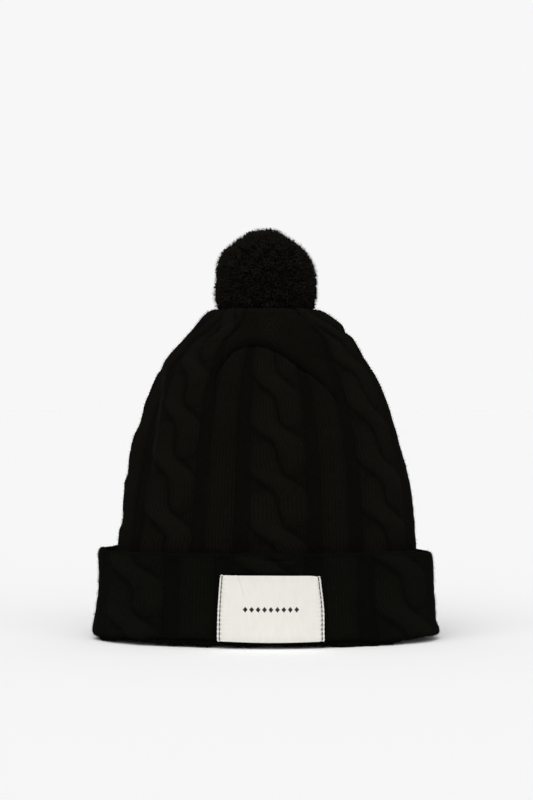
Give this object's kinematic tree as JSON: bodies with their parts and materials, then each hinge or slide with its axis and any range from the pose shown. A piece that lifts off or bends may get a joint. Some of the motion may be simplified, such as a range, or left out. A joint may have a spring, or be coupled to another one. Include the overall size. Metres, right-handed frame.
{
  "type": "knit beanie",
  "caption": "Cable-knit beanie with a turn-up cuff, a sewn fabric patch on the front and a cut-yarn pompom that tilts on its tie.",
  "frame": {"origin": "middle of the rim, on the plane that the rim rests on", "axes": "+Z from the opening up to the pompom, -Y towards the front label, +X to the viewer's right when facing the label"},
  "size_m": [0.2342, 0.1364, 0.277],
  "materials": {
    "black_knit": "soft brushed wool knit, matt, fine fuzz",
    "black_pile": "dense cut wool pile, matt",
    "black_cord": "plied wool yarn, matt",
    "black_thread": "polyester sewing thread, slight sheen",
    "white_weave": "off-white plain-weave cotton, matt",
    "white_satin": "white satin tape, soft sheen",
    "white_thread": "polyester sewing thread, slight sheen"
  },
  "bodies": {
    "root": {"knit_body": "black_knit", "turn_up_cuff": "black_knit", "link_seam_yarn": "black_cord", "back_seam_yarn": "black_cord", "cuff_seam_yarn": "black_cord", "crown_gather_yarn": "black_cord", "front_label": "white_weave", "label_stitch_left": "black_thread", "label_stitch_right": "black_thread", "care_label_stitch": "white_thread"},
    "pom_tie": {"tie_knot": "black_cord"},
    "pom": {"pom_tie_yarn": "black_cord", "pom_binding": "black_cord", "pom_pile": "black_pile"},
    "care_tag": {"care_label": "white_satin"}
  },
  "joints": [
    {"name": "pom_nod", "type": "hinge", "parent": "root", "child": "pom_tie", "pos_m": [0, 0, 0.203], "axis": [1, 0, 0], "range_deg": [-7, 7], "stiffness_Nm_per_rad": 0.08},
    {"name": "pom_sway", "type": "hinge", "parent": "pom_tie", "child": "pom", "pos_m": [0, 0, 0.203], "axis": [0, 1, 0], "range_deg": [-7, 7], "stiffness_Nm_per_rad": 0.08},
    {"name": "care_label_flap", "type": "hinge", "parent": "root", "child": "care_tag", "pos_m": [0.017, 0.04842, 0.062], "axis": [1, 0, 0], "range_deg": [-75, 0]}
  ]
}
